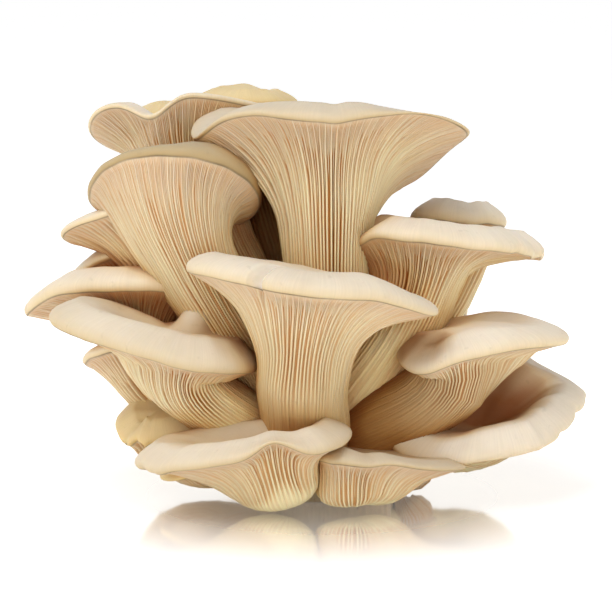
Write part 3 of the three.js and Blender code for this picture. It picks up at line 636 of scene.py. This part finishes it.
def fillAir(grown):
    # skin area in each cell of a grid of cubes, as a share of one full wall, then softened
    step, low, count = airGrid["step"], np.array(airGrid["low"]), np.array(airGrid["count"])
    total = np.zeros(count.prod())
    for g in grown:
        a, b, c = (g["points"][g["triangles"][:, k]] for k in range(3))
        area = np.linalg.norm(np.cross(b - a, c - a), axis=-1) / 2
        cell = np.clip(((a + b + c) / 3 - low) / step, 0, count - 1).astype(int)
        index = (cell[:, 0] * count[1] + cell[:, 1]) * count[2] + cell[:, 2]
        total += np.bincount(index, area, minlength=len(total))
    filled = np.clip(total.reshape(count) / (step * step), 0, 1)
    for axis in range(3):
        filled = (np.roll(filled, 1, axis) + 2 * filled + np.roll(filled, -1, axis)) / 4
    return filled


def readAir(filled, spots):
    # the grid at any spots, blended between the eight nearest cells
    at = (spots - np.array(airGrid["low"])) / airGrid["step"] - 0.5
    at = np.clip(at, 0, np.array(airGrid["count"]) - 1.001)
    cell = at.astype(int)
    f = at - cell
    found = 0
    for i in (0, 1):
        for j in (0, 1):
            for k in (0, 1):
                share = ((f[..., 0] if i else 1 - f[..., 0]) * (f[..., 1] if j else 1 - f[..., 1])
                         * (f[..., 2] if k else 1 - f[..., 2]))
                found = found + share * filled[cell[..., 0] + i, cell[..., 1] + j, cell[..., 2] + k]
    return found


def shelterAt(filled, spots, ways):
    # 1 minus the share of open sky: along each ray the light left is the product of (1 - filled)
    n = airGrid["rays"]
    k = np.arange(n) + 0.5
    z = 1 - 2 * k / n
    spin = k * math.pi * (3 - math.sqrt(5))
    rays = np.stack([np.sqrt(1 - z * z) * np.cos(spin), np.sqrt(1 - z * z) * np.sin(spin), z], -1)
    start = spots + ways * airGrid["standOff"]
    seen, weight = 0.0, 1e-6
    for ray in rays:
        facing = np.clip(ways @ ray, 0, 1)
        left = 1.0
        for reach in airGrid["reaches"]:
            left = left * (1 - np.clip(airGrid["dimming"] * readAir(filled, start + ray * reach), 0, 1))
        seen = seen + facing * left
        weight = weight + facing
    return 1 - seen / weight


def addShelter(grown):
    # every point of every mushroom gets its own shelter mark, which the colour paints as shade
    filled = fillAir(grown)
    for g in grown:
        p = g["probe"]
        under = np.repeat(shelterAt(filled, p["under"], p["underWay"]), 3, axis=1)
        top = shelterAt(filled, p["top"], p["topWay"])
        # painted shade added to the shelter, on the top spread by hollow; below zero it paints light instead
        below, above = g["brownAndPaintedShade"]
        top = np.clip(top + above * g["hollow"] if above > 0 else top + above, 0, 1)
        under = np.clip(under + below, 0, 1)
        g["marks"]["shelter"] = np.concatenate([under.ravel(), top.ravel(), [top[-1].mean()], [under[-1].mean()]])


def placeMesh(name, points, triangles, marks, flow, **rest):
    # millimetres from the growth spot become metres in the frame
    mesh = bpy.data.meshes.new(name)
    mesh.vertices.add(len(points))
    mesh.vertices.foreach_set("co", (points * millimetre + growthSpot).astype(np.float32).ravel())
    mesh.loops.add(triangles.size)
    mesh.loops.foreach_set("vertex_index", triangles.astype(np.int32).ravel())
    mesh.polygons.add(len(triangles))
    mesh.polygons.foreach_set("loop_start", (np.arange(len(triangles)) * 3).astype(np.int32))
    mesh.update(calc_edges=True)
    mesh.polygons.foreach_set("use_smooth", np.ones(len(triangles), bool))
    for key, values in marks.items():
        layer = mesh.attributes.new(key, "FLOAT", "POINT")
        layer.data.foreach_set("value", values.astype(np.float32))
    layer = mesh.attributes.new("flow", "FLOAT_VECTOR", "POINT")
    layer.data.foreach_set("vector", flow.astype(np.float32).ravel())
    piece = bpy.data.objects.new(name, mesh)
    bpy.context.scene.collection.objects.link(piece)
    return piece


def newGroup(name, inputs, outputs):
    # an empty node group with its named sockets
    group = bpy.data.node_groups.new(name, "ShaderNodeTree")
    for label, kind, value in inputs:
        socket = group.interface.new_socket(name=label, in_out="INPUT", socket_type=kind)
        if value is not None:
            socket.default_value = value
    for label, kind in outputs:
        group.interface.new_socket(name=label, in_out="OUTPUT", socket_type=kind)
    return group, group.nodes.new("NodeGroupInput"), group.nodes.new("NodeGroupOutput")


def addNode(tree, kind, links=None, **settings):
    # one node, its settings, and its inputs by name: a socket is linked, a number is set
    node = tree.nodes.new(kind)
    for key, value in settings.items():
        setattr(node, key, value)
    for key, value in (links or {}).items():
        if isinstance(value, bpy.types.NodeSocket):
            tree.links.new(value, node.inputs[key])
        else:
            node.inputs[key].default_value = value
    return node


def mixColour(tree, factor, first, second, blend="MIX"):
    # colour mix by factor
    node = tree.nodes.new("ShaderNodeMix")
    node.data_type = "RGBA"
    node.blend_type = blend
    for index, value in ((0, factor), (6, first), (7, second)):
        if isinstance(value, bpy.types.NodeSocket):
            tree.links.new(value, node.inputs[index])
        else:
            node.inputs[index].default_value = value
    return node.outputs[2]


def doMath(tree, operation, *values, clamp=False):
    # one Math node
    node = tree.nodes.new("ShaderNodeMath")
    node.operation = operation
    node.use_clamp = clamp
    for index, value in enumerate(values):
        if isinstance(value, bpy.types.NodeSocket):
            tree.links.new(value, node.inputs[index])
        else:
            node.inputs[index].default_value = value
    return node.outputs[0]


def remap(tree, value, low, high, toLow=0.0, toHigh=1.0, **settings):
    # low..high becomes toLow..toHigh, held at both ends
    return addNode(tree, "ShaderNodeMapRange", {
        "Value": value, "From Min": low, "From Max": high,
        "To Min": toLow, "To Max": toHigh}, **settings).outputs["Result"]


def readMark(tree, name, output="Fac"):
    # the named attribute of the mesh
    return addNode(tree, "ShaderNodeAttribute", attribute_name=name).outputs[output]


def makeFibreGroup():
    # fine threads: noise squeezed across the grain and drawn out along it
    group, inside, out = newGroup(
        "fibreThreads",
        [("Flow", "NodeSocketVector", None), ("Across", "NodeSocketFloat", 20.0),
         ("Along", "NodeSocketFloat", 1.0)],
        [("Threads", "NodeSocketFloat"), ("Clumps", "NodeSocketFloat")])
    scale = addNode(group, "ShaderNodeCombineXYZ", {
        "X": inside.outputs["Across"], "Y": inside.outputs["Across"], "Z": inside.outputs["Along"]})
    spread = addNode(group, "ShaderNodeVectorMath", {
        0: inside.outputs["Flow"], 1: scale.outputs[0]}, operation="MULTIPLY")
    threads = addNode(group, "ShaderNodeTexNoise", {
        "Vector": spread.outputs[0], "Scale": 1.0, "Detail": 3.0, "Roughness": 0.6})
    wider = addNode(group, "ShaderNodeVectorMath", {
        0: spread.outputs[0], 1: (0.23, 0.23, 0.4)}, operation="MULTIPLY")
    clumps = addNode(group, "ShaderNodeTexNoise", {
        "Vector": wider.outputs[0], "Scale": 1.0, "Detail": 2.0, "Roughness": 0.5})
    group.links.new(threads.outputs["Fac"], out.inputs["Threads"])
    group.links.new(clumps.outputs["Fac"], out.inputs["Clumps"])
    return group


def makeMottleGroup():
    # soft clouds and fine skin grain in object space
    group, inside, out = newGroup(
        "skinMottle",
        [("Cloud Size", "NodeSocketFloat", 55.0), ("Grain Size", "NodeSocketFloat", 900.0)],
        [("Clouds", "NodeSocketFloat"), ("Grain", "NodeSocketFloat"), ("Spots", "NodeSocketFloat")])
    place = addNode(group, "ShaderNodeTexCoord").outputs["Object"]
    clouds = addNode(group, "ShaderNodeTexNoise", {
        "Vector": place, "Scale": inside.outputs["Cloud Size"], "Detail": 4.0, "Roughness": 0.55})
    grain = addNode(group, "ShaderNodeTexNoise", {
        "Vector": place, "Scale": inside.outputs["Grain Size"], "Detail": 3.0, "Roughness": 0.6})
    spots = addNode(group, "ShaderNodeTexNoise", {
        "Vector": place, "Scale": doMath(group, "MULTIPLY", inside.outputs["Cloud Size"], 6.0),
        "Detail": 2.0, "Roughness": 0.5})
    group.links.new(clouds.outputs["Fac"], out.inputs["Clouds"])
    group.links.new(grain.outputs["Fac"], out.inputs["Grain"])
    group.links.new(remap(group, spots.outputs["Fac"], 0.66, 0.76), out.inputs["Spots"])
    return group


fleshTints = dict(
    tone=(0.44, 0.345, 0.21, 1),
    golden=(0.93, 0.80, 0.50, 1),       # along the rim
    # painted shade for the lower stems under other caps
    paintedStemShade=(0.44, 0.25, 0.11, 1),        # browner stems
    torn=(0.95, 0.92, 0.86, 1),
    # shade and deep: painted shade, laid on by the shelter mark, browner in the deepest hollows
    shade=(0.95, 0.82, 0.61, 1), shadeFrom=0.30, shadeTo=0.75,      # by shelter
    deep=(0.52, 0.20, 0.06, 1), deepFrom=0.66, deepTo=1.05,
)


def makeFleshGroup():
    # each colour laid over the last one by its mark: cap, gills and stem, then painted shade by shelter, tears and
    # margin line
    tints = fleshTints
    group, inside, out = newGroup(
        "fleshColour",
        [(label, "NodeSocketColor", None) for label in ("Skin", "Skin Middle", "Gill", "Stem", "Gap", "Margin")]
        + [("Threads", "NodeSocketFloat", 0.5), ("Clumps", "NodeSocketFloat", 0.5),
           ("Clouds", "NodeSocketFloat", 0.5), ("Spots", "NodeSocketFloat", 0.0)],
        [("Colour", "NodeSocketColor")])
    give = inside.outputs
    inward = readMark(group, "inward")
    cloudy = remap(group, give["Clouds"], 0.35, 0.68)

    # cap: browner in the middle, streaked towards the rim, golden along it
    skin = mixColour(group, doMath(group, "MULTIPLY", cloudy, 0.55), give["Skin"], give["Skin Middle"])
    skin = mixColour(group, doMath(group, "MULTIPLY", inward, 0.6, clamp=True), skin, give["Skin Middle"])
    nearRim = doMath(group, "SUBTRACT", 0.9, doMath(group, "MULTIPLY", inward, 1.3), clamp=True)
    skin = mixColour(group, nearRim, skin, remap(group, give["Threads"], 0.35, 0.7, 0.95, 1.02), "MULTIPLY")
    skin = mixColour(group, readMark(group, "tone"), skin, tints["tone"])
    rim = doMath(group, "POWER", doMath(group, "MULTIPLY", inward, -1.0, clamp=True), 2.2)
    skin = mixColour(group, doMath(group, "MULTIPLY", rim, 0.85), skin, tints["golden"], "MULTIPLY")

    # gills: yellower down the stem, threaded, with warm painted shade in the gaps
    gill = mixColour(group, remap(group, readMark(group, "down"), 0.12, 0.62), give["Gill"], give["Stem"])
    gill = mixColour(group, doMath(group, "MULTIPLY", readMark(group, "gillTone"), 0.22), gill, give["Stem"])
    gill = mixColour(group, 1.0, gill, remap(group, give["Threads"], 0.35, 0.7, 0.9, 1.08), "MULTIPLY")
    gill = mixColour(group, remap(group, give["Clumps"], 0.3, 0.75, 0.0, 0.3), gill, give["Gap"])
    gap = doMath(group, "MULTIPLY", doMath(group, "POWER", readMark(group, "gap"), 0.75), 0.9, clamp=True)
    gill = mixColour(group, gap, gill, give["Gap"])
    # painted shade on the lower stem
    gill = mixColour(group, readMark(group, "paintedStemShade"), gill, tints["paintedStemShade"], "MULTIPLY")

    whole = mixColour(group, readMark(group, "under"), skin, gill)
    # painted shade: darker, then browner, where the shelter mark says little open sky reaches the skin
    shelter = readMark(group, "shelter")
    for tint in ("shade", "deep"):
        share = remap(group, shelter, tints[tint + "From"], tints[tint + "To"])
        whole = mixColour(group, share, whole, tints[tint], "MULTIPLY")
    whole = mixColour(group, readMark(group, "tear"), whole, tints["torn"])
    patchy = doMath(group, "ADD", 0.45, doMath(group, "MULTIPLY", cloudy, 0.6))
    edge = doMath(group, "MULTIPLY", readMark(group, "edge"), patchy, clamp=True)
    whole = mixColour(group, edge, whole, give["Margin"])
    whole = mixColour(group, doMath(group, "MULTIPLY", give["Spots"], 0.12), whole, give["Margin"])
    group.links.new(whole, out.inputs["Colour"])
    return group


# gap: the warm painted shade between the gills
finishes = {
    "paleFlesh": dict(
        slot="pale_flesh",
        skin=(0.785, 0.70, 0.58, 1), skinMiddle=(0.71, 0.61, 0.475, 1), gill=(0.655, 0.51, 0.355, 1),
        stem=(0.92, 0.83, 0.52, 1), gap=(0.57, 0.25, 0.06, 1), margin=(0.20, 0.14, 0.07, 1),
        roughness=0.52, bump=0.35),
    "tanFlesh": dict(
        slot="tan_flesh",
        skin=(0.78, 0.62, 0.345, 1), skinMiddle=(0.66, 0.50, 0.265, 1), gill=(0.74, 0.58, 0.36, 1),
        stem=(0.70, 0.55, 0.30, 1), gap=(0.55, 0.29, 0.11, 1), margin=(0.22, 0.16, 0.08, 1),
        roughness=0.5, bump=0.4),
}


def makeFlesh(name, look, groups):
    # flesh: the colour group on a Principled shader with light scattering under the skin
    material = bpy.data.materials.new(name)
    material.use_nodes = True
    tree = material.node_tree
    shader = tree.nodes["Principled BSDF"]
    fibres = addNode(tree, "ShaderNodeGroup", node_tree=groups["fibre"])
    tree.links.new(readMark(tree, "flow", "Vector"), fibres.inputs["Flow"])
    fibres.inputs["Across"].default_value = 9.0
    fibres.inputs["Along"].default_value = 1.0
    mottle = addNode(tree, "ShaderNodeGroup", node_tree=groups["mottle"])
    colour = addNode(tree, "ShaderNodeGroup", {
        "Skin": look["skin"], "Skin Middle": look["skinMiddle"], "Gill": look["gill"],
        "Stem": look["stem"], "Gap": look["gap"], "Margin": look["margin"],
        "Threads": fibres.outputs["Threads"], "Clumps": fibres.outputs["Clumps"],
        "Clouds": mottle.outputs["Clouds"], "Spots": mottle.outputs["Spots"]}, node_tree=groups["flesh"])
    tree.links.new(colour.outputs["Colour"], shader.inputs["Base Color"])
    rough = remap(tree, mottle.outputs["Clouds"], 0.3, 0.7, look["roughness"] - 0.08, look["roughness"] + 0.1)
    tree.links.new(rough, shader.inputs["Roughness"])
    height = doMath(tree, "ADD", doMath(tree, "MULTIPLY", fibres.outputs["Threads"], readMark(tree, "under")),
                    doMath(tree, "MULTIPLY", mottle.outputs["Grain"], 0.35))
    bump = addNode(tree, "ShaderNodeBump", {
        "Height": height, "Strength": look["bump"], "Distance": 0.0006})
    tree.links.new(bump.outputs["Normal"], shader.inputs["Normal"])
    shader.inputs["Subsurface Weight"].default_value = 0.35
    shader.inputs["Subsurface Radius"].default_value = (1.0, 0.68, 0.42)
    shader.inputs["Subsurface Scale"].default_value = 0.0012
    shader.inputs["Specular IOR Level"].default_value = 0.22
    return material


cutLook = dict(
    pale=(0.74, 0.62, 0.44, 1), brownAndPaintedShade=(0.58, 0.44, 0.27, 1), pit=(0.30, 0.19, 0.09, 1),
    roughness=0.75, bump=0.6,
)


def makeCutFlesh(groups):
    # the knife face: pale torn fibres with browner pits
    material = bpy.data.materials.new("cutFlesh")
    material.use_nodes = True
    tree = material.node_tree
    shader = tree.nodes["Principled BSDF"]
    fibres = addNode(tree, "ShaderNodeGroup", {"Across": 4.0, "Along": 1.5}, node_tree=groups["fibre"])
    tree.links.new(readMark(tree, "flow", "Vector"), fibres.inputs["Flow"])
    mottle = addNode(tree, "ShaderNodeGroup", {"Cloud Size": 140.0, "Grain Size": 1400.0},
                     node_tree=groups["mottle"])
    pale = mixColour(tree, fibres.outputs["Threads"], cutLook["pale"], cutLook["brownAndPaintedShade"])
    pits = mixColour(tree, doMath(tree, "MULTIPLY", mottle.outputs["Spots"], 0.6), pale, cutLook["pit"])
    tree.links.new(pits, shader.inputs["Base Color"])
    height = doMath(tree, "ADD", fibres.outputs["Threads"], doMath(tree, "MULTIPLY", mottle.outputs["Grain"], 0.5))
    bump = addNode(tree, "ShaderNodeBump", {"Height": height, "Strength": cutLook["bump"], "Distance": 0.001})
    tree.links.new(bump.outputs["Normal"], shader.inputs["Normal"])
    shader.inputs["Roughness"].default_value = cutLook["roughness"]
    shader.inputs["Subsurface Weight"].default_value = 0.25
    shader.inputs["Subsurface Radius"].default_value = (1.0, 0.55, 0.25)
    shader.inputs["Subsurface Scale"].default_value = 0.002
    return material


buttShape = dict(
    centre=(0, 8), radius=(25, 24), height=20, squareness=0.5,
    around=216, rows=22, faceRings=24, lidRings=8,
    spreadLow=0.05, narrowTop=0.16, shrink=0.03,
    grooves=((9, 3, 0, 0.018), (31, 0, 1.2, 0.012), (57, 4, 0, 0.008)),    # how many, twist, start, depth
    tearSize=3.0, tearDepth=0.22,
)


def growButt():
    # a squared oval, |cos|^squareness by |sin|^squareness, grooved by sines and narrower at the top.
    # The face it stands on is flat, with dimples of noise where the knife tore the fibres
    b = buttShape
    t = np.linspace(0, 2 * math.pi, b["around"], endpoint=False)
    c, s = np.cos(t), np.sin(t)
    ring = np.stack([np.sign(c) * np.abs(c) ** b["squareness"] * b["radius"][0],
                     np.sign(s) * np.abs(s) ** b["squareness"] * b["radius"][1]], -1)
    up = np.linspace(0, 1, b["rows"])[:, None]
    taper = 1 - b["spreadLow"] * (1 - up) ** 2 - b["narrowTop"] * smoothStep((up - 0.7) / 0.3)
    groove = 1 + sum(depth * np.sin(count * t + twist * up + start) for count, twist, start, depth in b["grooves"])
    side = ring * (taper * (groove - b["shrink"]))[..., None]
    sidePoints = np.concatenate([side, (up * b["height"] * np.ones(len(t)))[..., None]], -1)
    inner = np.linspace(1, 0.03, b["faceRings"])[1:, None, None]
    face = side[0] * inner
    torn = sineNoise(np.concatenate([face, face[..., :1] * 0], -1), b["tearSize"], 71) * b["tearDepth"]
    dimple = np.clip(torn + 0.3, 0, 1) * smoothStep((1 - inner[..., 0]) * 9)
    facePoints = np.concatenate([face, dimple[..., None]], -1)
    lid = side[-1] * np.linspace(1, 0.05, b["lidRings"])[1:, None, None]
    lidPoints = np.concatenate([lid, np.full(lid.shape[:2] + (1,), b["height"])], -1)
    rows = np.concatenate([facePoints[::-1], sidePoints, lidPoints])
    rows[..., :2] += np.array(b["centre"])
    count, wide = rows.shape[:2]
    here, along, after, afterAlong = gridCorners(0, count, wide)
    squares = cornerTrios((here, along, afterAlong), (here, afterAlong, after))
    k = np.arange(wide)
    last = (count - 1) * wide
    closing = cornerTrios(((k + 1) % wide, k, k * 0 + count * wide),
                          (last + k, last + (k + 1) % wide, k * 0 + count * wide + 1))
    points = np.concatenate([rows.reshape(-1, 3), [rows[0].mean(0)], [rows[-1].mean(0)]])
    flow = np.stack([points[:, 0] / 4, points[:, 1] / 4, points[:, 2] / b["height"]], -1)
    return dict(points=points, triangles=np.concatenate([squares, closing]), marks={}, flow=flow)


groups = dict(fibre=makeFibreGroup(), mottle=makeMottleGroup(), flesh=makeFleshGroup())
materials = {name: makeFlesh(name, look, groups) for name, look in finishes.items()}
print("materials ready")

grown = [growMushroom(body, 100 + 10 * number) for number, body in enumerate(mushrooms.values())]
print("mushrooms grown")
addShelter(grown)
print("shelter worked out")
total = 0
for (node, body), g in zip(mushrooms.items(), grown):
    name = node.replace("mushroom_", "flesh_").replace("button_", "flesh_button_")
    piece = placeMesh(name, **g)
    finish = body.get("finish", "paleFlesh")
    piece.data.materials.append(materials[finish])
    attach(piece, "root")
    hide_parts(node)
    total += len(piece.data.polygons)
print("pieces placed:", len(mushrooms), "triangles:", total)

butt = placeMesh("flesh_cut_end", **growButt())
butt.data.materials.append(makeCutFlesh(groups))
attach(butt, "root")
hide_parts("cut_butt")
print("cut end ready")


studio = dict(
    floorHalf=60.0,
    floorColour=(0.93, 0.93, 0.93, 1),
    floorRoughness=0.10,
    floorMirror=0.84,
    floorWarmth=(1.0, 0.96, 0.89, 1),
    polishNear=0.04, polishFar=0.128,
    floorGlow=0.5,
    skyLow=(1.0, 1.0, 1.0, 1), skyHigh=(0.44, 0.44, 0.44, 1),
    keyPower=12.5, keySize=0.9, keyPlace=(-0.48, -0.6, 1.3),
    fillPower=1.4, fillSize=0.8, fillPlace=(0.5, -0.95, 0.2),
)


def makeFloor():
    # a flat square just under the cluster: a mirror near it that fades into glowing white further out
    h = studio["floorHalf"]
    mesh = bpy.data.meshes.new("studioFloor")
    z = buttLow.z - 0.0002
    mesh.from_pydata([(-h, -h, z), (h, -h, z), (h, h, z), (-h, h, z)], [], [(0, 1, 2, 3)])
    floor = bpy.data.objects.new("studioFloor", mesh)
    bpy.context.scene.collection.objects.link(floor)
    material = bpy.data.materials.new("whiteFloor")
    material.use_nodes = True
    tree = material.node_tree
    shader = tree.nodes["Principled BSDF"]
    shader.inputs["Roughness"].default_value = studio["floorRoughness"]
    shader.inputs["Specular IOR Level"].default_value = 0.0
    spot = addNode(tree, "ShaderNodeTexCoord").outputs["Object"]
    away = addNode(tree, "ShaderNodeVectorMath", {
        0: spot, 1: tuple(growthSpot * (1, 1, 0))}, operation="DISTANCE")
    polish = remap(tree, away.outputs["Value"], studio["polishNear"], studio["polishFar"],
                   studio["floorMirror"], 0.0, interpolation_type="SMOOTHSTEP")
    tree.links.new(polish, shader.inputs["Metallic"])
    tree.links.new(mixColour(tree, polish, studio["floorColour"], studio["floorWarmth"]),
                   shader.inputs["Base Color"])
    shader.inputs["Emission Color"].default_value = (1, 1, 1, 1)
    glow = doMath(tree, "MULTIPLY", doMath(tree, "SUBTRACT", 1.0, polish), studio["floorGlow"])
    tree.links.new(glow, shader.inputs["Emission Strength"])
    mesh.materials.append(material)


def makeSky():
    # white round the horizon, softer overhead
    world = bpy.data.worlds.new("studioWorld")
    bpy.context.scene.world = world
    world.use_nodes = True
    tree = world.node_tree
    height = addNode(tree, "ShaderNodeSeparateXYZ", {
        "Vector": addNode(tree, "ShaderNodeTexCoord").outputs["Generated"]}).outputs["Z"]
    rise = remap(tree, height, 0.28, 0.55, interpolation_type="SMOOTHSTEP")
    sky = mixColour(tree, rise, studio["skyLow"], studio["skyHigh"])
    tree.links.new(sky, tree.nodes["Background"].inputs["Color"])


def areaLight(name, place, size, power, aim):
    # a square soft light turned towards the cluster
    light = bpy.data.lights.new(name, "AREA")
    light.shape = "SQUARE"
    light.size = size
    light.energy = power
    lamp = bpy.data.objects.new(name, light)
    bpy.context.scene.collection.objects.link(lamp)
    lamp.location = place
    lamp.rotation_mode = "QUATERNION"
    lamp.rotation_quaternion = (aim - lamp.location).to_track_quat("-Z", "Y")


cameraSetup = dict(target=(-5.2, -10.0, 64.0), elevation=8.0, distance=750.0, lens=136.2)


def makeCamera():
    # looks along +Y, tipped down by the elevation
    target = Vector(growthSpot + np.array(cameraSetup["target"]) * millimetre)
    tip = math.radians(cameraSetup["elevation"])
    away = cameraSetup["distance"] * millimetre
    data = bpy.data.cameras.new("camera")
    data.sensor_width = 36.0
    data.lens = cameraSetup["lens"]
    data.clip_start = 0.05
    data.clip_end = 200
    camera = bpy.data.objects.new("camera", data)
    bpy.context.scene.collection.objects.link(camera)
    camera.location = target + Vector((0, -math.cos(tip), math.sin(tip))) * away
    camera.rotation_mode = "QUATERNION"
    camera.rotation_quaternion = (target - camera.location).to_track_quat("-Z", "Y")
    bpy.context.scene.camera = camera
    return target


makeFloor()
aim = makeCamera()
areaLight("keyLight", studio["keyPlace"], studio["keySize"], studio["keyPower"], aim)
areaLight("fillLight", studio["fillPlace"], studio["fillSize"], studio["fillPower"], aim)
makeSky()
bpy.context.scene.view_settings.view_transform = "Standard"
print("studio ready")
